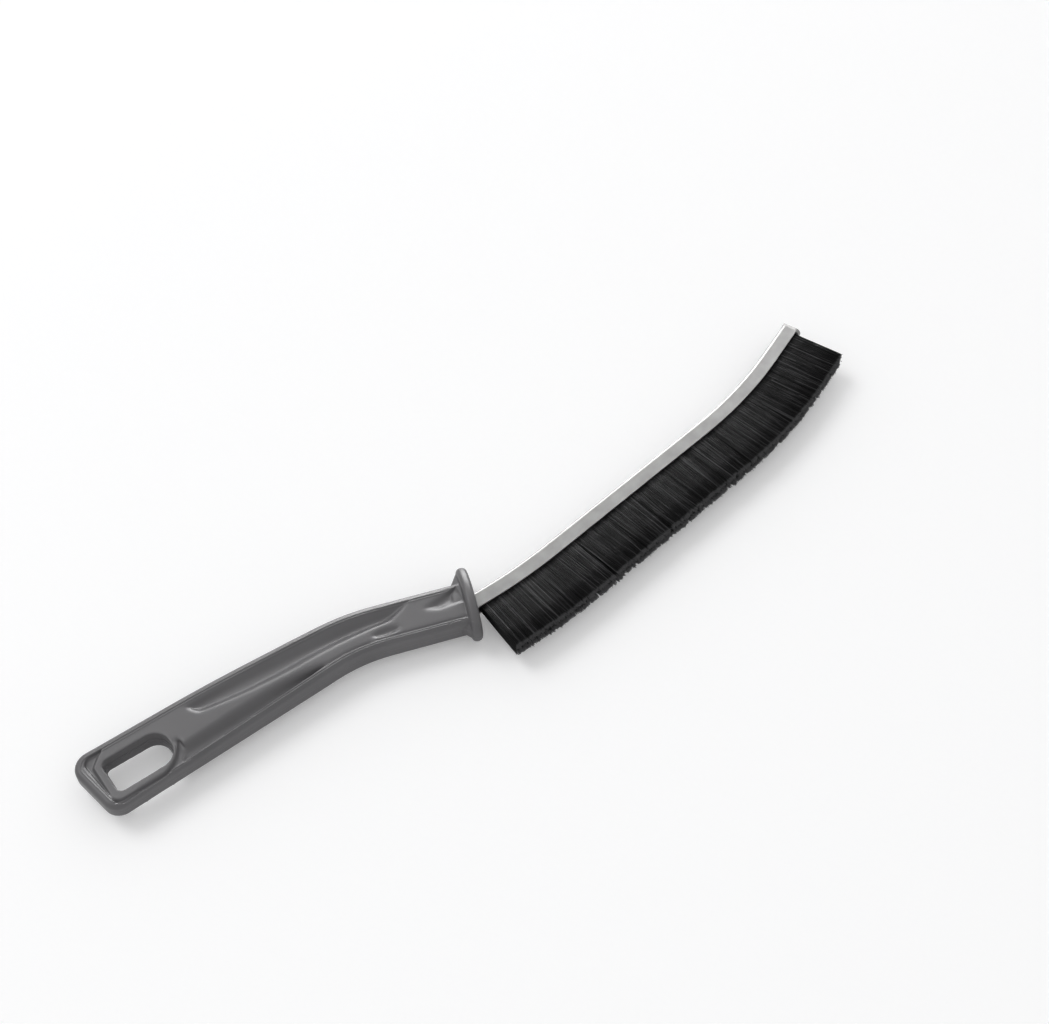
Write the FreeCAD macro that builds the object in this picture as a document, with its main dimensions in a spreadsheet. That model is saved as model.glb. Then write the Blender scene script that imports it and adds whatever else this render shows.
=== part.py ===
import FreeCAD, Part
import math
import os
import re
import Sketcher

# Crevice brush lying on its side: a moulded handle with a hang hole and an oval collar, and a
# strip brush that leaves the collar. Millimetres. Every piece is drawn in one grip frame: origin
# in the middle of the tail end, X along the grip, Y across it with the filaments towards -Y, and
# Z out of the mould's parting plane. One placement then turns the grip frame into the object's.

os.makedirs("parts", exist_ok=True)
doc = FreeCAD.newDocument("crevice_brush")

SIZES = {
    # handle outline in the parting plane
    "grip_length": 72.6,          # tail end to the inner side of the bend
    "tail_back_x": -1.4,          # the tail end leans a little
    "tail_back_y": 9.4,
    "tail_front_x": 1.9,
    "tail_front_y": 9.3,
    "bend_back_y": 6.0,
    "bend_front_y": 6.6,
    "bend_stagger": 2.4,          # the back bends this much further along than the front
    "neck_length": 31.0,
    "neck_angle": 18.4,
    "tail_back_radius": 4.5,
    "tail_front_radius": 4.2,
    "grip_crest_y": 8.72,         # the grip's back swells to here, half way along
    "swell_reach": 10.0,          # the swell is round this far to each side
    "bend_back_radius": 60.0,
    "bend_front_radius": 42.0,
    # handle thickness
    "tail_thickness": 5.0,
    "neck_thickness": 6.8,
    "taper_start": 7.0,           # the faces are level up to here and then slope up
    "taper_margin": 5.8,          # the grip has its full thickness this far before the bend
    "edge_radius": 1.3,
    # hang hole
    "hole_start": 5.9,
    "hole_length": 15.5,
    "hole_width": 9.0,
    "hole_drop": 0.5,             # hole's middle below the grip axis
    "hole_tail_radius": 1.4,
    "hole_grip_radius": 3.9,
    "hole_ledge": 0.35,           # step at the parting plane, where the two mould halves meet
    # sculpted faces
    "ring_width": 2.1,            # raised land round the hang hole
    "groove_depth": 0.8,          # groove between that land and the rim
    "rim_width": 0.85,            # rim along the front edge
    "tail_rim_width": 1.7,
    "tail_rim_lean": 2.0,         # the tail's rim widens this much towards the back
    "back_rim_width": 2.0,
    "groove_corner": 2.0,
    "groove_slope": 0.25,         # its rim side leans this much at the face
    "groove_undercut": 0.1,       # and this much at the floor
    "groove_reach": 0.4,          # its front arm ends this far past the land
    "groove_rise": 0.9,
    "groove_mouth_y": 2.3,
    "land_arc_y": 0.2,
    "land_arc_radius": 9.0,
    "land_arc_lead": 7.0,
    "front_depth": 2.0,           # scooped recesses beside the diagonal spine
    "back_depth": 1.6,
    "rim_line_lead": 9.6,         # fine line that keeps the rim apart along the neck
    "rim_line_inset": 1.9,
    "rim_line_radius": 0.45,
    "dish_depth": 0.9,            # three-cornered dish beside the collar
    "overcut": 0.1,
    "leaf_length": 9.0,           # leaf-shaped hollow on the neck
    "leaf_radius": 8.5,
    "leaf_depth": 0.9,
    "leaf_start": 4.0,            # its first point past the bend
    "leaf_drop": 3.3,
    "leaf_angle": 15.0,
    # collar
    "collar_length": 21.4,
    "collar_width": 12.4,
    "collar_thickness": 2.8,
    "collar_end_radius": 4.6,
    "collar_rim_radius": 1.2,
    "collar_angle": 22.0,
    "collar_offset": 1.0,
    "flare_length": 3.0,          # the neck flares into the collar over this length
    "flare_inset": 0.6,           # the flare ends this far inside the collar's rim
    "flare_width": 6.2,           # so it stays below the neck's own faces
    "flare_end_radius": 2.3,
    "flare_sink": 0.2,
    # strip: channel, core wire and filaments
    "strip_drop": 10.2,           # core wire below the grip axis where the strip leaves
    "tang_length": 10.5,          # channel hidden in the handle
    "lead_length": 4.0,
    "first_radius": 157.0,
    "first_turn": 8.0,
    "middle_length": 59.0,
    "second_radius": 138.0,
    "second_turn": 14.4,
    "tip_length": 13.5,
    "channel_height": 4.4,
    "channel_width": 4.2,
    "mouth_width": 3.3,
    "back_radius": 1.0,
    "sheet_gauge": 0.5,
    "wire_diameter": 1.3,
    "wire_depth": 2.4,            # core wire axis below the channel's back
    "tab_drop": 1.1,              # end tab past the channel's mouth
    "tab_thickness": 1.2,
    "filament_reach": 20.0,       # channel back to filament tips
    "tip_spread": 4.8,
    "tip_lean": 5.5,              # the last filaments lean back, the first ones don't
    "tuft_start": 1.0,            # first tuft past the collar's face
    "tuft_pitch": 4.4,
    "tuft_gap": 0.12,
    # fits
    "socket_clearance": 0.1,
    "strip_clearance": 0.1,
    # placement of the whole object
    "lie_angle": -3.66,
    "origin_x": 119.4,
    "origin_y": -13.02,
}

sheet = doc.addObject("Spreadsheet::Sheet", "sizes")
for row, (alias, number) in enumerate(SIZES.items(), start=1):
    sheet.set(f"A{row}", alias)
    sheet.set(f"B{row}", str(number))
    sheet.setAlias(f"B{row}", alias)
doc.recompute()


def linked(formula):
    """Turn a formula in plain names into one that reads the sheet."""
    return re.sub(r"[a-z_]+", lambda m: f"sizes.{m[0]}" if m[0] in SIZES else m[0], formula)


def value(formula):
    """The number that a formula in plain names comes to."""
    result = sheet.evalExpression(linked(formula))
    return float(getattr(result, "Value", result))


def bind(thing, **formulas):
    for name, formula in formulas.items():
        thing.setExpression(name, linked(formula))


def new_body(label):
    body = doc.addObject("PartDesign::Body", label)
    body.Label = label
    return body


def origin_plane(body, role):
    return next(f for f in body.Origin.OriginFeatures if f.Role == role)


def new_sketch(body, name, role, offset=("0", "0", "0"), turn="0", about=(0, 0, 1)):
    """A sketch on one of the body's own planes, moved and turned in that plane's axes."""
    sketch = body.newObject("Sketcher::SketchObject", name)
    sketch.AttachmentSupport = [(origin_plane(body, role), "")]
    sketch.MapMode = "FlatFace"
    spin = FreeCAD.Rotation(FreeCAD.Vector(*about), value(turn))
    place = FreeCAD.Vector(*(value(part) for part in offset))
    sketch.AttachmentOffset = FreeCAD.Placement(place, spin)
    for axis, part in zip("xyz", offset):
        sketch.setExpression(f"AttachmentOffset.Base.{axis}", linked(part))
    if turn != "0":
        sketch.setExpression("AttachmentOffset.Rotation.Angle", linked(turn))
    return sketch


def pin(sketch, geo, pos, x, y):
    """Hold one point of a sketch at a place given by two formulas."""
    for kind, formula in (("DistanceX", x), ("DistanceY", y)):
        index = sketch.addConstraint(Sketcher.Constraint(kind, -1, 1, geo, pos, value(formula)))
        sketch.setExpression(f"Constraints[{index}]", linked(formula))


def arc_through(start, end, radius):
    """Arc from start to end, bulging to the right of that way for a positive radius."""
    middle = (start + end) * 0.5
    chord = end - start
    side = FreeCAD.Vector(-chord.y, chord.x, 0).normalize() * math.copysign(1, radius)
    centre = middle + side * math.sqrt(radius ** 2 - chord.Length ** 2 / 4)
    first, last = (start, end) if radius > 0 else (end, start)
    angles = [math.atan2(p.y - centre.y, p.x - centre.x) for p in (first, last)]
    circle = Part.Circle(centre, FreeCAD.Vector(0, 0, 1), abs(radius))
    return Part.ArcOfCircle(circle, *angles)


def draw(sketch, corners, closed=True):
    """Join corners by lines, or by arcs where a corner carries the radius of its next edge."""
    points = [FreeCAD.Vector(value(c[0]), value(c[1]), 0) for c in corners]
    count = len(corners) if closed else len(corners) - 1
    edges = []
    for i in range(count):
        start, end = points[i], points[(i + 1) % len(points)]
        if len(corners[i]) == 2:
            edges.append((sketch.addGeometry(Part.LineSegment(start, end)), 1, 2))
            continue
        radius = value(corners[i][2])
        geo = sketch.addGeometry(arc_through(start, end, radius))
        edges.append((geo, 1, 2) if radius > 0 else (geo, 2, 1))
        index = sketch.addConstraint(Sketcher.Constraint("Radius", geo, abs(radius)))
        sketch.setExpression(f"Constraints[{index}]", linked(f"abs({corners[i][2]})"))
    for i in range(count if closed else count - 1):
        (geo, _, last), (following, first, _) = edges[i], edges[(i + 1) % count]
        sketch.addConstraint(Sketcher.Constraint("Coincident", geo, last, following, first))
    for i in range(count):
        pin(sketch, edges[i][0], edges[i][1], corners[i][0], corners[i][1])
    if not closed:
        pin(sketch, edges[-1][0], edges[-1][2], corners[-1][0], corners[-1][1])
    return edges


def round_edges(body, name, base, chosen, formula):
    """Fillet the edges of a feature that a test picks."""
    doc.recompute()
    names = [f"Edge{i}" for i, edge in enumerate(base.Shape.Edges, 1) if chosen(edge)]
    fillet = body.newObject("PartDesign::Fillet", name)
    fillet.Base = (base, names)
    bind(fillet, Radius=formula)
    doc.recompute()
    return fillet


SAME_PLACE = 1e-2  # how far off a place an edge may be and still be the one that is meant


def upright_near(x, y):
    """A test for edges that run along Z through a place given by two formulas."""
    place = FreeCAD.Vector(value(x), value(y), 0)

    def test(edge):
        middle = edge.CenterOfMass
        thin = edge.BoundBox.XLength + edge.BoundBox.YLength < SAME_PLACE
        return thin and math.hypot(middle.x - place.x, middle.y - place.y) < SAME_PLACE
    return test


def mirrored(body, name, features):
    """Repeat cuts of the upper face on the lower one."""
    copy = body.newObject("PartDesign::Mirrored", name)
    copy.Originals = features
    copy.MirrorPlane = (origin_plane(body, "XY_Plane"), [""])
    body.Tip = copy
    doc.recompute()
    return copy


# ---- handle: one moulding, with the same relief on both faces ----

NECK_DX = "neck_length * cos(neck_angle)"
NECK_DY = "neck_length * sin(neck_angle)"
BACK_BEND_X = "(grip_length + bend_stagger)"
TAPER_END = "(grip_length - bend_front_radius * tan(neck_angle / 2) - taper_margin)"
TAIL_BACK = ("tail_back_x", "tail_back_y")
TAIL_FRONT = ("tail_front_x", "-tail_front_y")
FRONT_BEND = ("grip_length", "-bend_front_y")
BACK_BEND = (BACK_BEND_X, "bend_back_y")
CREST_X = "(grip_length / 2)"
TAIL_SLOPE = f"atan((tail_back_y - grip_crest_y) / ({CREST_X} - tail_back_x))"
BEND_SLOPE = f"atan((grip_crest_y - bend_back_y) / ({BACK_BEND_X} - {CREST_X}))"
COLLAR_X = f"(grip_length + bend_stagger / 2 + {NECK_DX} + collar_offset * sin(collar_angle))"
COLLAR_Y = f"((bend_back_y - bend_front_y) / 2 - {NECK_DY} + collar_offset * cos(collar_angle))"

handle = new_body("handle")
outline = new_sketch(handle, "handle_outline", "XY_Plane")
draw(outline, [
    TAIL_BACK,
    TAIL_FRONT,
    FRONT_BEND,
    (f"grip_length + {NECK_DX}", f"-bend_front_y - {NECK_DY}"),
    (f"{BACK_BEND_X} + {NECK_DX}", f"bend_back_y - {NECK_DY}"),
    BACK_BEND,
    (f"{CREST_X} + swell_reach * cos({BEND_SLOPE})", f"grip_crest_y - swell_reach * sin({BEND_SLOPE})",
     f"swell_reach / tan(({BEND_SLOPE} - {TAIL_SLOPE}) / 2)"),
    (f"{CREST_X} - swell_reach * cos({TAIL_SLOPE})", f"grip_crest_y + swell_reach * sin({TAIL_SLOPE})"),
])
blank = handle.newObject("PartDesign::Pad", "handle_blank")
blank.Profile = outline
blank.Midplane = True
bind(blank, Length="neck_thickness")

shaped = blank
for name, corner, formula in (
    ("tail_back_round", TAIL_BACK, "tail_back_radius"),
    ("tail_front_round", TAIL_FRONT, "tail_front_radius"),
    ("front_bend", FRONT_BEND, "bend_front_radius"),
    ("back_bend", BACK_BEND, "bend_back_radius"),
):
    shaped = round_edges(handle, name, shaped, upright_near(*corner), formula)

# side profile: both faces fall in a straight draft towards the level tail
thinning = new_sketch(handle, "side_profile", "XZ_Plane")
for side in ("", "-"):
    draw(thinning, [
        (TAPER_END, f"{side}neck_thickness / 2"),
        ("taper_start", f"{side}tail_thickness / 2"),
        ("-tail_front_y", f"{side}tail_thickness / 2"),
        ("-tail_front_y", f"{side}neck_thickness"),
        (TAPER_END, f"{side}neck_thickness"),
    ])
thinned = handle.newObject("PartDesign::Pocket", "thinned_tail")
thinned.Profile = thinning
thinned.Midplane = True
bind(thinned, Length="tail_front_y * 4")


def face_border(edge):
    """Edges that run round the upper or lower face, not those across it or up a wall."""
    box = edge.BoundBox
    if box.ZMin * box.ZMax < 0:
        return False
    middle = edge.valueAt((edge.FirstParameter + edge.LastParameter) / 2)
    on_neck_end = middle.x > value(f"grip_length + {NECK_DX}") - SAME_PLACE
    across = box.XLength < SAME_PLACE and middle.x > value("taper_start") - SAME_PLACE
    return not on_neck_end and not across


round_edges(handle, "face_borders", thinned, face_border, "edge_radius")


def cut_through(name, sketch, up=False, length=None):
    """Pocket from a sketch to one side, right through unless a length is given."""
    pocket = handle.newObject("PartDesign::Pocket", name)
    pocket.Profile = sketch
    pocket.Reversed = up
    pocket.Type = 0 if length else 1
    if length:
        bind(pocket, Length=length)
    doc.recompute()
    return pocket


def hole_outline(sketch, grown):
    """The hang hole: squarer towards the tail, arched towards the grip."""
    left, right = f"(hole_start - {grown})", f"(hole_start + hole_length + {grown})"
    front, back = [f"({side}(hole_width / 2 + {grown}) - hole_drop)" for side in ("-", "")]
    small, large = f"(hole_tail_radius + {grown})", f"(hole_grip_radius + {grown})"
    draw(sketch, [
        (f"{left} + {small}", front),
        (f"{right} - {large}", front, large),
        (right, f"{front} + {large}"),
        (right, f"{back} - {large}", large),
        (f"{right} - {large}", back),
        (f"{left} + {small}", back, small),
        (left, f"{back} - {small}"),
        (left, f"{front} + {small}", small),
    ])


lower_hole = new_sketch(handle, "lower_hole", "XY_Plane")
hole_outline(lower_hole, "0")
cut_through("hang_hole_lower", lower_hole)
upper_hole = new_sketch(handle, "upper_hole", "XY_Plane")
hole_outline(upper_hole, "hole_ledge")
cut_through("hang_hole_upper", upper_hole, up=True)


def scoop(name, face, rim, depth_plane, floor):
    """A recess with sloping sides between an outline at the face and one at its floor."""
    top = new_sketch(handle, f"{name}_rim", "XY_Plane", ("0", "0", face))
    draw(top, rim)
    bottom = new_sketch(handle, f"{name}_floor", "XY_Plane", ("0", "0", depth_plane))
    draw(bottom, floor)
    loft = handle.newObject("PartDesign::SubtractiveLoft", name)
    loft.Profile = top
    loft.Sections = [bottom]
    loft.Ruled = True
    doc.recompute()
    return loft


LAND_TAIL = "(hole_start - ring_width)"
LAND_FRONT = "(hole_width / 2 + hole_drop + ring_width)"
LAND_BACK = "(hole_width / 2 - hole_drop + ring_width)"
LAND_END = "(hole_start + hole_length + ring_width)"


def groove_loop(land, rim):
    """Groove round the tail end of the land, both of its sides moved by formulas."""
    tail_back = f"(tail_back_x + tail_rim_width + tail_rim_lean - {rim})"
    tail_front = f"(tail_front_x + tail_rim_width - {rim})"
    back = f"(tail_back_y - back_rim_width + {rim})"
    front = f"(tail_front_y - rim_width + {rim})"
    return [
        ("hole_start + groove_corner", back),
        (f"{tail_back} + groove_corner", back, "groove_corner * 1.1"),
        (tail_back, f"{back} - groove_corner"),
        (tail_front, f"groove_corner - {front}", "groove_corner * 1.1"),
        (f"{tail_front} + groove_corner", f"-{front}"),
        (f"{LAND_END} + groove_reach", f"groove_rise - {front}"),
        (f"{LAND_END} + groove_reach + {land}", "-groove_mouth_y"),
        (f"{LAND_END} + {land}", "-land_arc_y", "-land_arc_radius"),
        (f"{LAND_END} - land_arc_lead", f"-{LAND_FRONT} - {land}"),
        (f"{LAND_TAIL} + groove_corner", f"-{LAND_FRONT} - {land}", "groove_corner * (-1.1)"),
        (f"{LAND_TAIL} - {land}", f"groove_corner - {LAND_FRONT}"),
        (f"{LAND_TAIL} - {land}", f"{LAND_BACK} - groove_corner"),
        ("hole_start", f"{LAND_BACK} + {land}"),
    ]


# groove between the rim and the land round the hang hole, open towards the front recess
GROOVE_TOP = "tail_thickness / 2 + groove_depth"
GROOVE_FLOOR = "tail_thickness / 2 - groove_depth"
groove_cut = scoop("ring_groove", GROOVE_TOP, groove_loop("(-groove_depth / 2)", "groove_slope"),
                   GROOVE_FLOOR, groove_loop("groove_depth / 2", "(-groove_undercut)"))

# recesses on both sides of a spine that runs from the back of the hang hole to the neck's front
ABOVE_FACE = "neck_thickness / 2 + overcut"
front_recess = scoop("front_recess", ABOVE_FACE, [
    (f"{LAND_END} - 2.6", "-7.5"),
    ("grip_length - 8.6", "-4.9"),
    ("grip_length - 8.6", "-4.2", "85"),
    ("grip_length - 28.6", "-1.6"),
    (f"{LAND_END} + 0.2", "-1.9"),
], "neck_thickness / 2 - front_depth", [
    (f"{LAND_END} - 1.7", "-7.0"),
    ("grip_length - 11.6", "-5.0"),
    ("grip_length - 11.8", "-4.7", "85"),
    ("grip_length - 28.6", "-4.6"),
    (f"{LAND_END} - 0.1", "-5.0"),
])
back_recess = scoop("back_recess", ABOVE_FACE, [
    (f"{LAND_END} + 4.4", "6.4"),
    (f"{LAND_END} + 7.6", "1.5", "150"),
    ("grip_length - 16.6", "-1.5", "-140"),
    ("grip_length + 11.4", "-3.6"),
    ("grip_length + 18.9", "-0.9", "234"),
    ("grip_length - 6.6", "5.1", "328"),
], "neck_thickness / 2 - back_depth", [
    (f"{LAND_END} + 7.4", "4.8"),
    (f"{LAND_END} + 8.6", "3.5", "165"),
    ("grip_length - 16.6", "1.2", "-109"),
    ("grip_length + 9.4", "-1.7"),
    ("grip_length + 12.4", "-1.5", "120"),
    ("grip_length - 6.6", "1.6", "400"),
])
dish = scoop("neck_dish", ABOVE_FACE, [
    ("grip_length + 18.6", "-5.0"),
    ("grip_length + 22.8", "-8.0"),
    ("grip_length + 29.4", "-10.2"),
    ("grip_length + 30.6", "-4.3"),
], "neck_thickness / 2 - dish_depth", [
    ("grip_length + 22.4", "-6.1"),
    ("grip_length + 23.6", "-6.9"),
    ("grip_length + 28.6", "-6.8"),
    ("grip_length + 29.0", "-5.2"),
])


def leaf_loop(shrink):
    """Pointed leaf between two arcs along the neck, its two points drawn in by a formula."""
    first = f"(leaf_start + {shrink})"
    last = f"(leaf_start + leaf_length - {shrink})"
    ends = [(f"grip_length + {along} * cos(leaf_angle)", f"-leaf_drop - {along} * sin(leaf_angle)")
            for along in (first, last)]
    return [(*ends[0], "leaf_radius"), (*ends[1], "leaf_radius")]


leaf = scoop("leaf_hollow", ABOVE_FACE, leaf_loop("0"),
             "neck_thickness / 2 - leaf_depth", leaf_loop("leaf_length / 5"))

# fine line that parts the rim from the neck's face, beside the front edge
BEND_TRIM = "((bend_front_radius + rim_line_inset) * tan(neck_angle / 2))"
LINE_BEND_X = "grip_length + rim_line_inset * tan(neck_angle / 2)"
LINE_BEND_Y = "rim_line_inset - bend_front_y"
rim_path = new_sketch(handle, "rim_line_path", "XY_Plane", ("0", "0", "neck_thickness / 2"))
draw(rim_path, [
    ("grip_length - rim_line_lead", LINE_BEND_Y),
    (f"{LINE_BEND_X} - {BEND_TRIM}", LINE_BEND_Y,
     "-bend_front_radius - rim_line_inset"),
    (f"{LINE_BEND_X} + {BEND_TRIM} * cos(neck_angle)",
     f"{LINE_BEND_Y} - {BEND_TRIM} * sin(neck_angle)"),
    (f"{LINE_BEND_X} + {NECK_DX}", f"{LINE_BEND_Y} - {NECK_DY}"),
], closed=False)
rim_section = new_sketch(handle, "rim_line_section", "YZ_Plane",
                         (LINE_BEND_Y, "neck_thickness / 2 + rim_line_radius / 3",
                          "grip_length - rim_line_lead"))
ring = rim_section.addGeometry(Part.Circle(FreeCAD.Vector(), FreeCAD.Vector(0, 0, 1),
                                           value("rim_line_radius")))
rim_section.addConstraint(Sketcher.Constraint("Coincident", ring, 3, -1, 1))
size = rim_section.addConstraint(Sketcher.Constraint("Radius", ring, value("rim_line_radius")))
rim_section.setExpression(f"Constraints[{size}]", linked("rim_line_radius"))
rim_line = handle.newObject("PartDesign::SubtractivePipe", "rim_line")
rim_line.Profile = rim_section
rim_line.Spine = (rim_path, ["Edge1", "Edge2", "Edge3"])
doc.recompute()

mirrored(handle, "lower_face_relief", [groove_cut, front_recess, back_recess, dish,
                                        leaf, rim_line])

# oval collar that closes the neck
def oval_loop(length, width, end_radius):
    """Oval of four tangent arcs, two round the ends and two along the sides."""
    side_radius = (f"((({length} / 2 - {end_radius}) ^ 2 + ({width} / 2) ^ 2"
                   f" - {end_radius} ^ 2) / ({width} - 2 * {end_radius}))")
    share = f"({end_radius} / ({side_radius} - {end_radius}))"
    join_x = f"(({length} / 2 - {end_radius}) * (1 + {share}))"
    join_y = f"(({side_radius} - {width} / 2) * {share})"
    return [
        (join_x, f"-{join_y}", end_radius),
        (join_x, join_y, side_radius),
        (f"-{join_x}", join_y, end_radius),
        (f"-{join_x}", f"-{join_y}", side_radius),
    ]


def collar_sketch(name, back, aside):
    """A sketch across the collar, moved back along the neck and aside towards the grip's front."""
    place = (f"{COLLAR_Y} + {back} * sin(collar_angle) - {aside} * cos(collar_angle)", "0",
             f"{COLLAR_X} - {back} * cos(collar_angle) - {aside} * sin(collar_angle)")
    return new_sketch(handle, name, "YZ_Plane", place, "-collar_angle", (0, 1, 0))


oval = collar_sketch("collar_oval", "0", "0")
collar_loop = oval_loop("collar_length", "collar_width", "collar_end_radius")
SIDE_RADIUS = collar_loop[1][2]
draw(oval, collar_loop)
collar = handle.newObject("PartDesign::Pad", "collar")
collar.Profile = oval
collar.Midplane = True
bind(collar, Length="collar_thickness")
doc.recompute()


def collar_border(edge):
    """The two outer edges of the collar, front and rear."""
    centre = FreeCAD.Vector(value(COLLAR_X), value(COLLAR_Y), 0)
    angle = math.radians(value("collar_angle"))
    normal = FreeCAD.Vector(math.cos(angle), -math.sin(angle), 0)
    place = edge.valueAt((edge.FirstParameter + edge.LastParameter) / 2) - centre
    if abs(abs(place.dot(normal)) - value("collar_thickness / 2")) > SAME_PLACE:
        return False
    radius = getattr(edge.Curve, "Radius", 0)
    radii = [value("collar_end_radius"), value(SIDE_RADIUS)]
    return any(abs(radius - known) < SAME_PLACE for known in radii)


round_edges(handle, "collar_rim", collar, collar_border, "collar_rim_radius")

# both edges of the neck flare out behind the collar, to just inside its rim
FLARE_FACE = "(collar_thickness / 2 - flare_sink)"
NECK_HEIGHT = "(bend_back_y + bend_front_y - 2 * flare_sink)"
flare_end = collar_sketch("flare_end", FLARE_FACE, "0")
draw(flare_end, oval_loop("(collar_length - 2 * flare_inset)", "flare_width", "flare_end_radius"))
flare_start = collar_sketch("flare_start", f"({FLARE_FACE} + flare_length)", "collar_offset")
draw(flare_start, oval_loop(NECK_HEIGHT, "flare_width", "flare_end_radius"))
flare = handle.newObject("PartDesign::AdditiveLoft", "collar_flare")
flare.Profile = flare_end
flare.Sections = [flare_start]
flare.Ruled = True
doc.recompute()

# ---- strip: channel, core wire and filaments follow one line, the wire's axis ----

FACE_X = (f"({COLLAR_X} + (collar_thickness / 2"
          f" - (strip_drop + {COLLAR_Y}) * sin(collar_angle)) / cos(collar_angle))")
TANG_X = f"({FACE_X} - tang_length)"
TIP_ANGLE = "(first_turn + second_turn)"


def strip_line(start_trim, end_trim):
    """The wire's axis from the hidden end to the tip: line, arc, line, arc, line."""
    x, y = [f"({TANG_X} + {start_trim})"], ["(-strip_drop)"]
    steps = [
        (f"tang_length + lead_length - {start_trim}", "0"),
        ("first_radius * sin(first_turn)", "first_radius * (1 - cos(first_turn))"),
        ("middle_length * cos(first_turn)", "middle_length * sin(first_turn)"),
        (f"second_radius * (sin({TIP_ANGLE}) - sin(first_turn))",
         f"second_radius * (cos(first_turn) - cos({TIP_ANGLE}))"),
        (f"(tip_length - {end_trim}) * cos({TIP_ANGLE})",
         f"(tip_length - {end_trim}) * sin({TIP_ANGLE})"),
    ]
    for dx, dy in steps:
        x.append(f"({x[-1]} + {dx})")
        y.append(f"({y[-1]} + {dy})")
    radii = [(), ("first_radius",), (), ("second_radius",), (), ()]
    return [(px, py, *radius) for px, py, radius in zip(x, y, radii)]


def sweep_along(body, name, section, line):
    spine = new_sketch(body, f"{name}_line", "XY_Plane")
    draw(spine, line, closed=False)
    pipe = body.newObject("PartDesign::AdditivePipe", name)
    pipe.Profile = section
    pipe.Spine = (spine, [f"Edge{i}" for i in range(1, len(line))])
    doc.recompute()
    return pipe


# socket in the handle for the channel's tang
socket = new_sketch(handle, "tang_socket", "YZ_Plane",
                    ("-strip_drop", "0", f"{TANG_X} - socket_clearance"))
SOCKET_BACK = "(wire_depth + socket_clearance)"
SOCKET_MOUTH = "(wire_depth - channel_height - socket_clearance)"
SOCKET_HALF = "(channel_width / 2 + socket_clearance)"
draw(socket, [
    (SOCKET_MOUTH, f"-{SOCKET_HALF}"),
    (SOCKET_BACK, f"-{SOCKET_HALF}"),
    (SOCKET_BACK, SOCKET_HALF),
    (SOCKET_MOUTH, SOCKET_HALF),
])
cut_through("socket", socket, up=True)

# channel: one folded strip, crimped to a narrower mouth, with its end folded down as a tab
channel = new_body("channel")
section = new_sketch(channel, "channel_section", "YZ_Plane", ("-strip_drop", "0", TANG_X))
MOUTH = "(wire_depth - channel_height)"
SHOULDER = "(wire_depth - back_radius)"
FLAT = "(channel_width / 2 - back_radius)"
INNER = "(wire_depth - sheet_gauge)"
INNER_RADIUS = "(back_radius - sheet_gauge)"
draw(section, [
    (MOUTH, "-mouth_width / 2"),
    (SHOULDER, "-channel_width / 2", "back_radius"),
    ("wire_depth", f"-{FLAT}"),
    ("wire_depth", FLAT, "back_radius"),
    (SHOULDER, "channel_width / 2"),
    (MOUTH, "mouth_width / 2"),
    (MOUTH, "mouth_width / 2 - sheet_gauge"),
    (SHOULDER, "channel_width / 2 - sheet_gauge", f"-{INNER_RADIUS}"),
    (INNER, FLAT),
    (INNER, f"-{FLAT}", f"-{INNER_RADIUS}"),
    (SHOULDER, "sheet_gauge - channel_width / 2"),
    (MOUTH, "sheet_gauge - mouth_width / 2"),
])
sweep_along(channel, "folded_sheet", section, strip_line("0", "0"))
tip_x, tip_y = strip_line("0", "0")[-1]
tab = new_sketch(channel, "end_tab_outline", "YZ_Plane", (tip_y, "0", tip_x),
                 TIP_ANGLE, (0, 1, 0))
TAB_END = f"({MOUTH} - tab_drop)"
draw(tab, [
    (f"{TAB_END} + mouth_width / 2", "-mouth_width / 2"),
    ("wire_depth", "-mouth_width / 2"),
    ("wire_depth", "mouth_width / 2"),
    (f"{TAB_END} + mouth_width / 2", "mouth_width / 2", "mouth_width / 2"),
    (TAB_END, "0", "mouth_width / 2"),
])
end_tab = channel.newObject("PartDesign::Pad", "end_tab")
end_tab.Profile = tab
bind(end_tab, Length="tab_thickness")
doc.recompute()

# core wire, sealed inside the channel
core_wire = new_body("core_wire")
END_PLAY = "(2 * sheet_gauge)"
wire_section = new_sketch(core_wire, "wire_section", "YZ_Plane",
                          ("-strip_drop", "0", f"{TANG_X} + {END_PLAY}"))
circle = wire_section.addGeometry(Part.Circle(FreeCAD.Vector(), FreeCAD.Vector(0, 0, 1),
                                              value("wire_diameter / 2")))
wire_section.addConstraint(Sketcher.Constraint("Coincident", circle, 3, -1, 1))
across = wire_section.addConstraint(Sketcher.Constraint("Diameter", circle, value("wire_diameter")))
wire_section.setExpression(f"Constraints[{across}]", linked("wire_diameter"))
sweep_along(core_wire, "wire", wire_section, strip_line(END_PLAY, END_PLAY))

# filaments: tufts folded over the wire, their two legs parting towards the trimmed tips
legs = {
    "bore": value("wire_diameter / 2 + strip_clearance / 2"),
    "fold": value("channel_width / 2 - sheet_gauge - strip_clearance * 2"),
    "mouth": value("mouth_width / 2 - sheet_gauge - strip_clearance"),
    "tips": value("tip_spread / 2"),
}


def strip_frame(along):
    """Place and heading on the wire's axis at a distance past the collar."""
    place = FreeCAD.Vector(value(FACE_X), -value("strip_drop"), 0)
    heading = 0.0
    stretches = [
        (value("lead_length"), 0.0),
        (math.radians(value("first_turn")) * value("first_radius"), value("first_radius")),
        (value("middle_length"), 0.0),
        (math.radians(value("second_turn")) * value("second_radius"), value("second_radius")),
        (value("tip_length"), 0.0),
    ]
    for length, radius in stretches:
        step = min(along, length)
        if radius:
            turned = heading + step / radius
            place += FreeCAD.Vector(radius * (math.sin(turned) - math.sin(heading)),
                                    radius * (math.cos(heading) - math.cos(turned)), 0)
            heading = turned
        else:
            place += FreeCAD.Vector(step * math.cos(heading), step * math.sin(heading), 0)
        along -= step
    return place, heading


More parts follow.
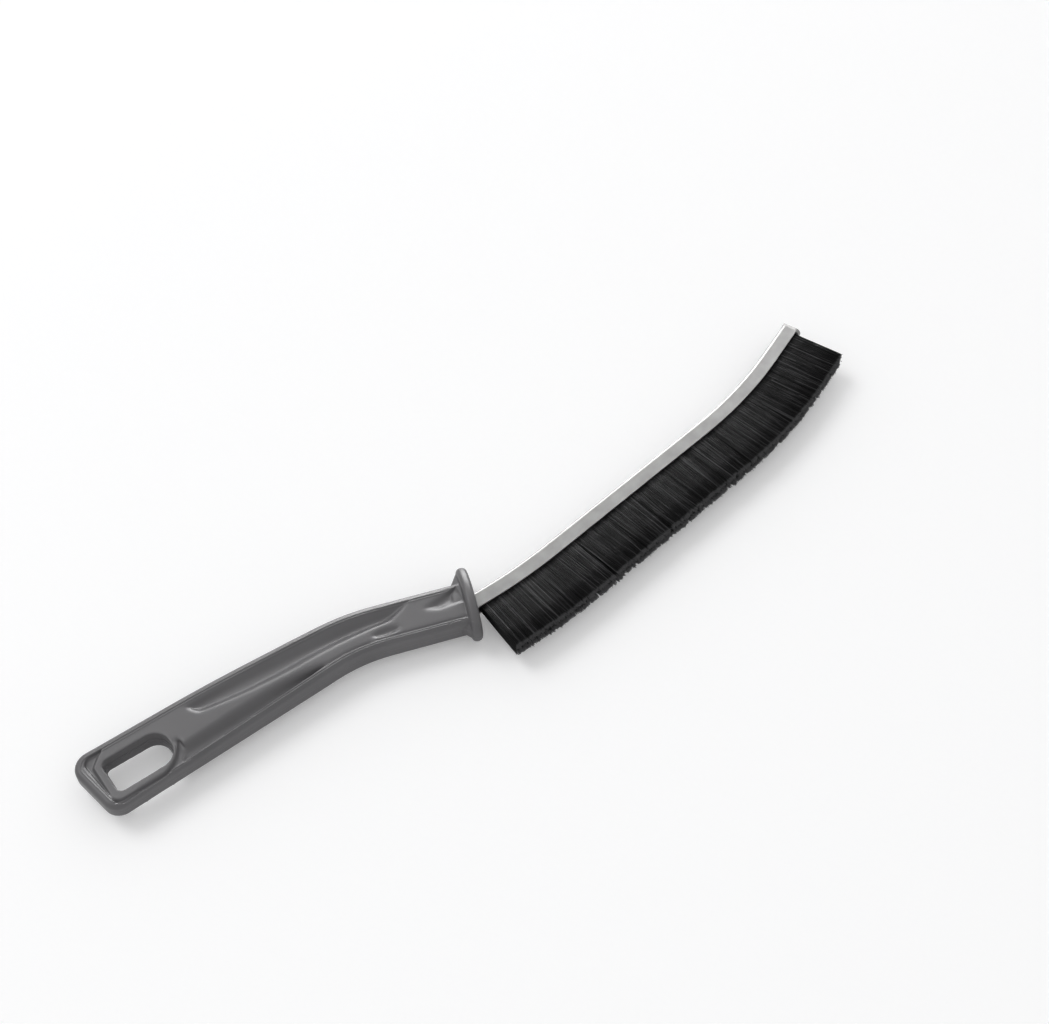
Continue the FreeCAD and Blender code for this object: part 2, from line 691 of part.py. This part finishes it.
def tuft_wire(along):
    """Outline of a folded tuft in a plane across the strip that leans with its filaments."""
    place, heading = strip_frame(along)
    facing = heading - math.radians(value("tip_lean")) * along / strip_length
    outward = FreeCAD.Vector(-math.sin(facing), math.cos(facing), 0)
    upward = FreeCAD.Vector(0, 0, 1)

    def at(reach, height):
        return place + outward * reach + upward * height

    bore, fold = legs["bore"], legs["fold"]
    crown = value("wire_depth - sheet_gauge - strip_clearance")
    rim = value(MOUTH)
    tip = value("wire_depth - filament_reach")
    slit = value("strip_clearance")
    half = [
        (crown, fold - value("back_radius")),
        (crown - value("back_radius"), fold),
        (rim, legs["mouth"]),
        (tip, legs["tips"]),
        (tip, slit),
        (-bore, slit),
        (-bore / 2, bore),
        (bore / 2, bore),
        (bore, slit),
    ]
    loop = [at(reach, height) for reach, height in half]
    loop += [at(reach, -height) for reach, height in reversed(half)]
    return Part.makePolygon(loop + loop[:1])


strip_length = value("lead_length + middle_length + tip_length"
                     " + (first_radius * first_turn + second_radius * second_turn) * pi / 180")
tuft_count = int((strip_length - value("tuft_start")) / value("tuft_pitch"))
tufts = []
for number in range(tuft_count):
    start = value("tuft_start") + number * value("tuft_pitch")
    end = start + value("tuft_pitch - tuft_gap")
    tufts.append(Part.makeLoft([tuft_wire(start), tuft_wire(end)], True, True))
bristles = doc.addObject("Part::Feature", "bristles")
bristles.Shape = Part.makeCompound(tufts)

# ---- placement and export ----

lie = FreeCAD.Placement(
    FreeCAD.Vector(-value("origin_x"), -value("origin_y"), value("collar_width / 2")),
    FreeCAD.Rotation(FreeCAD.Vector(0, 0, 1), value("lie_angle")))
pieces = [handle, channel, core_wire, bristles]
for piece in pieces:
    piece.Placement = lie
doc.recompute()

for thing in doc.Objects:
    if {"Invalid", "Error"} & set(thing.State):
        raise RuntimeError(f"{thing.Name} didn't build: {thing.State}")
whole = FreeCAD.BoundBox()
for piece in pieces:
    if piece.Shape.isNull() or not piece.Shape.isValid():
        raise RuntimeError(f"{piece.Label} has no valid shape")
    piece.Shape.exportStep(f"parts/{piece.Label}.step")
    whole.add(piece.Shape.BoundBox)
    print(piece.Label, len(piece.Shape.Solids), "solids", round(piece.Shape.Volume), "mm3")
print("overall", [round(number, 2) for number in (
    whole.XMin, whole.XMax, whole.YMin, whole.YMax, whole.ZMin, whole.ZMax)])
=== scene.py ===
import math
import random

import bmesh
import bpy
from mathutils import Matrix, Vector
from mathutils.kdtree import KDTree


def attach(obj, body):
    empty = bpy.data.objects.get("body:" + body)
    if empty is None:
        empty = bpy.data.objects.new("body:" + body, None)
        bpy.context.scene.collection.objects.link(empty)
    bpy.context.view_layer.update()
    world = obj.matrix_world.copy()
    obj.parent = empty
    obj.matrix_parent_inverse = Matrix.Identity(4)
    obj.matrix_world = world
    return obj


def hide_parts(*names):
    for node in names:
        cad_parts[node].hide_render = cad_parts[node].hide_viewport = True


# A crevice brush lying on its side on a pale table: a moulded handle with a hang hole and an oval
# collar, and a curved channel strip with dark filaments. Metres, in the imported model's frame.

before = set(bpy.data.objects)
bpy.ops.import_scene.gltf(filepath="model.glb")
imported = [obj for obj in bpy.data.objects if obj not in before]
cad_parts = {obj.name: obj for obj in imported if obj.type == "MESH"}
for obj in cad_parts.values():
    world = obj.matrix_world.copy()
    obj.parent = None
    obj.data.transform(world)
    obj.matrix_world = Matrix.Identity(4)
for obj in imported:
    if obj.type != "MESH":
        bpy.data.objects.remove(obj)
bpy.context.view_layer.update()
MM = 0.001

# ---- camera ----
# Looks down on the brush over the tail's front corner, with the whole length across the picture.

IMAGE_WIDTH = 1049
FOCAL_PIXELS = 1600
camera_data = bpy.data.cameras.new("camera")
camera_data.sensor_fit = "HORIZONTAL"
camera_data.sensor_width = 36
camera_data.lens = FOCAL_PIXELS / IMAGE_WIDTH * camera_data.sensor_width
camera_data.clip_start = 0.01
camera = bpy.data.objects.new("camera", camera_data)
camera.location = Vector((-155.004, -189.185, 347.237)) * MM
looking = Vector((0.39211, 0.465661, -0.793353))
camera.rotation_euler = looking.to_track_quat("-Z", "Y").to_euler()
bpy.context.scene.collection.objects.link(camera)
bpy.context.scene.camera = camera

# ---- handle ----
# Grip, hang hole, neck and oval collar are one injection moulding in mid-grey plastic. The mould
# leaves soft edges everywhere, a faint parting line round the edge and a fine spark-eroded grain.

CELL = 0.15 * MM
WELD = 0.002 * MM
KEPT_SHARE = 0.33


def linked_copy(name, data):
    """A new object in the scene for a mesh or curve."""
    piece = bpy.data.objects.new(name, data)
    bpy.context.scene.collection.objects.link(piece)
    return piece


def made_solid(piece, name):
    """The piece's shape with its modifiers applied, as a plain mesh object of its own."""
    bpy.context.view_layer.update()
    graph = bpy.context.evaluated_depsgraph_get()
    mesh = bpy.data.meshes.new_from_object(piece.evaluated_get(graph))
    mesh.name = name
    bpy.data.objects.remove(piece)
    return linked_copy(name, mesh)


bm = bmesh.new()
bm.from_mesh(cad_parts["handle"].data)
bmesh.ops.remove_doubles(bm, verts=bm.verts, dist=WELD)
skin = bpy.data.meshes.new("handle_skin")
bm.to_mesh(skin)
bm.free()
handle = linked_copy("handle_skin", skin)
grid = handle.modifiers.new("grid", "REMESH")
grid.mode = "VOXEL"
grid.voxel_size = CELL
soften = handle.modifiers.new("soften", "SMOOTH")
soften.factor = 0.5
soften.iterations = 5
handle = made_solid(handle, "handle_dense")

# Each face carries a raised line just inside its edge, with a fine step beside it. Each relief is
# a list of distances from the edge and heights there. Plain numbers are millimetres from here on.
MID_HEIGHT = 6.2
MID_BAND = 0.16
HOLE_MIDDLE = Vector((-105.8, 11.65))
HOLE_CLEAR = 9.8
HOLE_TAIL_X = -114.5
HOLE_BACK_Y = 18
SOCKET_START = -26.4
SOCKET_Y = -3.84
SOCKET_CLEAR = 3.4
RELIEF_END = -19.5
RELIEF_EASE = 3
FACE_RISE = 1.2
STEEPNESS_EASE = 2.2
FRONT_RELIEF = [(0.6, 0.0), (0.95, -0.17), (1.2, 0.0), (1.5, 0.17), (1.8, 0.05), (2.2, 0.0)]
BACK_RELIEF = [(0.9, 0.0), (1.25, 0.04), (1.6, 0.18), (1.9, 0.0), (2.15, -0.1), (2.5, 0.0)]


def relief_height(relief, reach):
    """Height of a relief at a distance from the edge, eased between its listed points."""
    for (near, low), (far, high) in zip(relief, relief[1:]):
        if near <= reach < far:
            share = (reach - near) / (far - near)
            return low + (high - low) * share * share * (3 - 2 * share)
    return 0.0


outline = []
for vertex in handle.data.vertices:
    flat = vertex.co.xy / MM
    in_socket = flat.x > SOCKET_START and abs(flat.y - SOCKET_Y) < SOCKET_CLEAR
    at_hole = (flat - HOLE_MIDDLE).length < HOLE_CLEAR and flat.x > HOLE_TAIL_X and flat.y < HOLE_BACK_Y
    if abs(vertex.co.z / MM - MID_HEIGHT) < MID_BAND and not in_socket and not at_hole:
        outline.append(flat)
edge = KDTree(len(outline))
for number, flat in enumerate(outline):
    edge.insert((flat.x, flat.y, 0), number)
edge.balance()

# Inside that line the recesses melt into the spine, and the tail's face is rounded far less.
INNER_START, TAIL_INNER_START, INNER_EASE = 2.2, 1.7, 0.8
TAIL_FACE = -97
TAIL_ROUNDING = 0.15
ROUNDING_PASSES = 160
reliefs = []
inner = handle.vertex_groups.new(name="inner_face")
for vertex in handle.data.vertices:
    spot = vertex.co / MM
    rise = spot.z - MID_HEIGHT
    if abs(rise) < FACE_RISE or spot.x > RELIEF_END:
        continue
    nearest, _, reach = edge.find((spot.x, spot.y, 0))
    inward = Vector((spot.x - nearest.x, spot.y - nearest.y))
    on_front = inward.y > abs(inward.x)
    height = relief_height(FRONT_RELIEF if on_front else BACK_RELIEF, reach)
    before_end = (RELIEF_END - spot.x) / RELIEF_EASE
    fade = min(1, abs(vertex.normal.z) * STEEPNESS_EASE) * min(1, before_end)
    reliefs.append((vertex.index, math.copysign(height * fade, rise) * MM))
    start, most = (INNER_START, 1.0) if spot.x > TAIL_FACE else (TAIL_INNER_START, TAIL_ROUNDING)
    weight = min(1, (reach - start) / INNER_EASE, before_end) * most
    if weight > 0:
        inner.add([vertex.index], weight, "REPLACE")
rounding = handle.modifiers.new("rounding", "SMOOTH")
rounding.factor = 0.5
rounding.iterations = ROUNDING_PASSES
rounding.vertex_group = inner.name
handle = made_solid(handle, "handle_rounded")
for number, height in reliefs:
    handle.data.vertices[number].co.z += height

thin_out = handle.modifiers.new("thin_out", "DECIMATE")
thin_out.ratio = KEPT_SHARE
handle = made_solid(handle, "handle_moulding")
for face in handle.data.polygons:
    face.use_smooth = True


def shader_nodes(name):
    """A new material, with its node tree and its surface shader."""
    material = bpy.data.materials.new(name)
    material.use_nodes = True
    tree = material.node_tree
    return material, tree, tree.nodes["Principled BSDF"]


def add(tree, kind, links=None, **values):
    """Add a node, set its plain values and join its inputs to other nodes' outputs."""
    node = tree.nodes.new(kind)
    for key, setting in values.items():
        if key in node.inputs:
            node.inputs[key].default_value = setting
        else:
            setattr(node, key, setting)
    for key, output in (links or {}).items():
        tree.links.new(output, node.inputs[key])
    return node


def ramp(tree, source, stops):
    """A colour ramp fed by a factor."""
    node = add(tree, "ShaderNodeValToRGB", {"Fac": source})
    for _ in range(len(stops) - 2):
        node.color_ramp.elements.new(0.5)
    for element, (place, colour) in zip(node.color_ramp.elements, stops):
        element.position = place
        element.color = (*colour, 1)
    return node


plastic, tree, shader = shader_nodes("grey_moulded_plastic")
place = add(tree, "ShaderNodeTexCoord").outputs["Object"]
clouds = add(tree, "ShaderNodeTexNoise", {"Vector": place}, Scale=70.0, Detail=4.0)
tone = ramp(tree, clouds.outputs["Fac"], [(0.3, (0.108, 0.106, 0.110)), (0.7, (0.124, 0.122, 0.126))])
tree.links.new(tone.outputs["Color"], shader.inputs["Base Color"])
scuffs = add(tree, "ShaderNodeTexNoise", {"Vector": place}, Scale=260.0, Detail=6.0)
gloss = add(tree, "ShaderNodeMapRange", {"Value": scuffs.outputs["Fac"]}, **{"To Min": 0.32, "To Max": 0.42})
tree.links.new(gloss.outputs["Result"], shader.inputs["Roughness"])
above_table = add(tree, "ShaderNodeSeparateXYZ", {"Vector": place}).outputs["Z"]
off_middle = add(tree, "ShaderNodeMath", {0: above_table}, operation="SUBTRACT")
off_middle.inputs[1].default_value = MID_HEIGHT * MM
apart = add(tree, "ShaderNodeMath", {0: off_middle.outputs["Value"]}, operation="ABSOLUTE")
seam = add(tree, "ShaderNodeMapRange", {"Value": apart.outputs["Value"]},
           **{"From Min": 0.0, "From Max": 0.12 * MM, "To Min": 1.0, "To Max": 0.0})
flash = add(tree, "ShaderNodeBump", {"Height": seam.outputs["Result"]}, Strength=0.6, Distance=0.05 * MM)
grain = add(tree, "ShaderNodeTexNoise", {"Vector": place}, Scale=2600.0, Detail=2.0)
relief = add(tree, "ShaderNodeBump", {"Height": grain.outputs["Fac"], "Normal": flash.outputs["Normal"]},
             Strength=0.12, Distance=0.02 * MM)
tree.links.new(relief.outputs["Normal"], shader.inputs["Normal"])
handle.data.materials.clear()
handle.data.materials.append(plastic)
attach(handle, "root")
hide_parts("handle")

# ---- channel ----
# One strip of thin steel folded into a U and crimped on the filaments, its end folded down as a
# tab. The sheet is satin with a faint mottle. Its colour is written darker than it shows, because
# the surround's panel, below, is far brighter than white where a surface reflects it.

steel, tree, shader = shader_nodes("satin_sheet_steel")
shader.inputs["Metallic"].default_value = 0.85
place = add(tree, "ShaderNodeTexCoord").outputs["Object"]
clouds = add(tree, "ShaderNodeTexNoise", {"Vector": place}, Scale=240.0, Detail=5.0)
tone = ramp(tree, clouds.outputs["Fac"], [(0.3, (0.31, 0.308, 0.305)), (0.7, (0.39, 0.388, 0.385))])
tree.links.new(tone.outputs["Color"], shader.inputs["Base Color"])
gloss = add(tree, "ShaderNodeMapRange", {"Value": clouds.outputs["Fac"]}, **{"To Min": 0.42, "To Max": 0.55})
tree.links.new(gloss.outputs["Result"], shader.inputs["Roughness"])
grain = add(tree, "ShaderNodeTexNoise", {"Vector": place}, Scale=3000.0, Detail=2.0)
relief = add(tree, "ShaderNodeBump", {"Height": grain.outputs["Fac"]}, Strength=0.1, Distance=0.02 * MM)
tree.links.new(relief.outputs["Normal"], shader.inputs["Normal"])
for node in ("channel", "core_wire"):
    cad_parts[node].data.materials.clear()
    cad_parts[node].data.materials.append(steel)

# ---- filaments ----
# Nylon filaments folded over the core wire, so two rows leave the channel's mouth and part towards
# the tips. Thousands of single filaments, each with its own lean, bow and trim.

random.seed(7)
LIE = math.radians(-3.66)
START = Vector((-15.58, -3.84))
LEAD, FIRST_RADIUS, FIRST_TURN = 4.0, 157.0, math.radians(8)
MIDDLE, SECOND_RADIUS, SECOND_TURN = 59.0, 138.0, math.radians(14.4)
TIP = 13.5
ROOT_DEPTH = 1.1
TIP_DEPTH = 17.6
LAST_LEAN = math.radians(5.5)
ROW_COUNT = 5000
FILAMENT_RADIUS = 0.095
FIRST_GAP, BOTH_GAPS = 0.5, 0.8
END_EASE = 6
STRAY_SHARE = 0.06
BENDS = (0, 0.3, 0.65, 1)
ROOT_LOW, ROOT_SPREAD = 0.12, 0.95
TIP_LOW, TIP_SPREAD = 0.2, 2.0
END_CORNERS, SIDE_CORNERS = 8, 16


def along_strip(distance):
    """Place on the core wire's axis and the way it heads there, both in the brush's frame."""
    spot, heading = START.copy(), LIE
    for length, radius in ((LEAD, 0), (FIRST_RADIUS * FIRST_TURN, FIRST_RADIUS), (MIDDLE, 0),
                           (SECOND_RADIUS * SECOND_TURN, SECOND_RADIUS), (TIP, 0)):
        step = min(distance, length)
        if radius:
            turned = heading + step / radius
            spot += radius * Vector((math.sin(turned) - math.sin(heading),
                                     math.cos(heading) - math.cos(turned)))
            heading = turned
        else:
            spot += step * Vector((math.cos(heading), math.sin(heading)))
        distance -= step
    return spot, heading


STRIP = LEAD + FIRST_RADIUS * FIRST_TURN + MIDDLE + SECOND_RADIUS * SECOND_TURN + TIP


def bunches():
    """Bunches along the strip, each with its end, middle, pull, lean, extra length and lift."""
    found, start = [], 0.0
    while start < STRIP:
        width = random.uniform(0.6, 2.2)
        found.append((start + width, start + width / 2, random.uniform(0.02, 0.3),
                      random.gauss(0, 0.016), random.gauss(0, 0.07), random.gauss(0, 0.16)))
        start += width
    return found


def filament_row(name, side):
    """A mesh of filaments on one side of the fold, side up or down, with a shade for each."""
    row = bpy.data.curves.new(name, "CURVE")
    row.dimensions = "3D"
    row.bevel_depth = FILAMENT_RADIUS * MM
    row.bevel_resolution = 0
    row.use_fill_caps = True
    roots, shades = [], []
    groups = bunches()
    group = 0
    for number in range(ROW_COUNT):
        distance = FIRST_GAP + (STRIP - BOTH_GAPS) * (number + random.random()) / ROW_COUNT
        while groups[group][0] < distance and group < len(groups) - 1:
            group += 1
        _, middle, pull, lean, longer, lift = groups[group]
        near_end = min(1, distance / END_EASE, (STRIP - distance) / END_EASE)
        spot, heading = along_strip(distance)
        stray = random.gauss(0, 0.05) if random.random() < STRAY_SHARE else random.gauss(0, 0.012)
        facing = heading - LAST_LEAN * distance / STRIP + (lean + stray) * near_end
        out_way = Vector((math.sin(facing), -math.cos(facing)))
        side_way = Vector((math.cos(heading), math.sin(heading)))
        level = random.random() ** 0.6
        root_height = side * (ROOT_LOW + ROOT_SPREAD * level)
        tip_height = side * (TIP_LOW + TIP_SPREAD * level) + side * lift + random.gauss(0, 0.1)
        reach = TIP_DEPTH + longer + random.gauss(0, 0.2)
        drawn = (middle - distance) * pull * near_end
        bow = random.gauss(0, 0.22) * near_end
        line = row.splines.new("POLY")
        line.points.add(3)
        for point, share in zip(line.points, BENDS):
            out = ROOT_DEPTH + share * (reach - ROOT_DEPTH)
            sideways = bow * share * (1 - share) * 2 + drawn * share * share
            flat = spot + out_way * out + side_way * sideways
            height = MID_HEIGHT + root_height + (tip_height - root_height) * share
            point.co = (flat.x * MM, flat.y * MM, height * MM, 1)
        roots.append(Vector(line.points[0].co[:3]))
        shades.append(random.random())
    piece = made_solid(linked_copy(name + "_lines", row), name)

    # The mesh lists every end cap first, from the last filament to the first, and then the sides.
    shade = [0.0] * len(piece.data.vertices)
    reached = [0.0] * len(piece.data.vertices)
    cap_share = ROW_COUNT * END_CORNERS
    for vertex in piece.data.vertices:
        if vertex.index < cap_share:
            number = ROW_COUNT - 1 - vertex.index // END_CORNERS
        else:
            number = (vertex.index - cap_share) // SIDE_CORNERS
        shade[vertex.index] = shades[number]
        reached[vertex.index] = (vertex.co - roots[number]).length / MM
    piece.data.attributes.new("shade", "FLOAT", "POINT").data.foreach_set("value", shade)
    piece.data.attributes.new("reached", "FLOAT", "POINT").data.foreach_set("value", reached)
    bm = bmesh.new()
    bm.from_mesh(piece.data)
    bmesh.ops.remove_doubles(bm, verts=bm.verts, dist=0.0005 * MM)
    bm.to_mesh(piece.data)
    bm.free()
    return piece


nylon, tree, shader = shader_nodes("black_nylon")
own_shade = add(tree, "ShaderNodeAttribute", attribute_name="shade").outputs["Fac"]
own_reach = add(tree, "ShaderNodeAttribute", attribute_name="reached").outputs["Fac"]
tone = ramp(tree, own_shade, [(0.8, (0.009, 0.009, 0.0095)), (0.97, (0.085, 0.085, 0.088))])
cut_end = add(tree, "ShaderNodeMapRange", {"Value": own_reach},
              **{"From Min": 15.9, "From Max": 16.4, "To Min": 0.0, "To Max": 1.0})
cut = add(tree, "ShaderNodeMix", {"Factor": cut_end.outputs["Result"]}, data_type="RGBA")
tree.links.new(tone.outputs["Color"], cut.inputs[6])
cut.inputs[7].default_value = (0.08, 0.08, 0.082, 1)
tree.links.new(cut.outputs[2], shader.inputs["Base Color"])
shader.inputs["Roughness"].default_value = 0.42
shader.inputs["Specular IOR Level"].default_value = 0.2

upper_row = filament_row("filaments_upper", 1)
lower_row = filament_row("filaments_lower", -1)
for row in (upper_row, lower_row):
    row.data.materials.clear()
    row.data.materials.append(nylon)
    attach(row, "root")
    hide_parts("bristles")

# ---- table and light ----
# A pale table under the brush and a large soft lamp behind it. The surround is even for all but
# reflections, which alone see a bright panel low behind the brush, many times brighter than white.

bm = bmesh.new()
bmesh.ops.create_grid(bm, x_segments=1, y_segments=1, size=3.0)
bmesh.ops.translate(bm, verts=bm.verts, vec=(0, 0, -0.02 * MM))
table_mesh = bpy.data.meshes.new("table")
bm.to_mesh(table_mesh)
bm.free()
table = linked_copy("table", table_mesh)
paper, tree, shader = shader_nodes("white_table")
shader.inputs["Base Color"].default_value = (0.88, 0.88, 0.885, 1)
shader.inputs["Roughness"].default_value = 0.7
shader.inputs["Specular IOR Level"].default_value = 0.2
seen = add(tree, "ShaderNodeLightPath").outputs["Is Camera Ray"]
tree.links.new(seen, shader.inputs["Emission Strength"])
shader.inputs["Emission Color"].default_value = (0.18, 0.18, 0.18, 1)
table.data.materials.append(paper)

world = bpy.data.worlds.new("surround")
bpy.context.scene.world = world
world.use_nodes = True
tree = world.node_tree
backdrop = tree.nodes["Background"]
way = add(tree, "ShaderNodeTexCoord").outputs["Generated"]
nearness = add(tree, "ShaderNodeVectorMath", {0: way}, operation="DOT_PRODUCT")
nearness.inputs[1].default_value = (0.612, 0.728, 0.309)
wide = add(tree, "ShaderNodeMapRange", {"Value": nearness.outputs["Value"]},
           **{"From Min": 0.5, "From Max": 0.85, "To Min": 0.4, "To Max": 1.0})
panel = add(tree, "ShaderNodeMapRange", {"Value": nearness.outputs["Value"]},
            **{"From Min": 0.9, "From Max": 0.97, "To Min": 0.0, "To Max": 9.0})
gleam = add(tree, "ShaderNodeMath", {0: wide.outputs["Result"], 1: panel.outputs["Result"]}, operation="ADD")
paths = add(tree, "ShaderNodeLightPath")
even = add(tree, "ShaderNodeMapRange", {"Value": paths.outputs["Is Camera Ray"]},
           **{"To Min": 0.7, "To Max": 1.0})
level = add(tree, "ShaderNodeMix", {"Factor": paths.outputs["Is Glossy Ray"], "A": even.outputs["Result"],
                                    "B": gleam.outputs["Value"]})
tree.links.new(level.outputs["Result"], backdrop.inputs["Strength"])
backdrop.inputs["Color"].default_value = (1, 1, 1, 1)


def soft_lamp(name, place, size, brightness):
    """A square area lamp that faces the middle of the brush, its brightness that of its own face."""
    data = bpy.data.lights.new(name, "AREA")
    data.size = size
    data.energy = brightness * math.pi * size * size
    lamp = bpy.data.objects.new(name, data)
    lamp.location = place
    lamp.rotation_euler = (-Vector(place)).to_track_quat("-Z", "Y").to_euler()
    bpy.context.scene.collection.objects.link(lamp)


soft_lamp("key", (-0.55, 1.3, 1.85), 1.1, 3.6)

bpy.context.scene.view_settings.view_transform = "Standard"
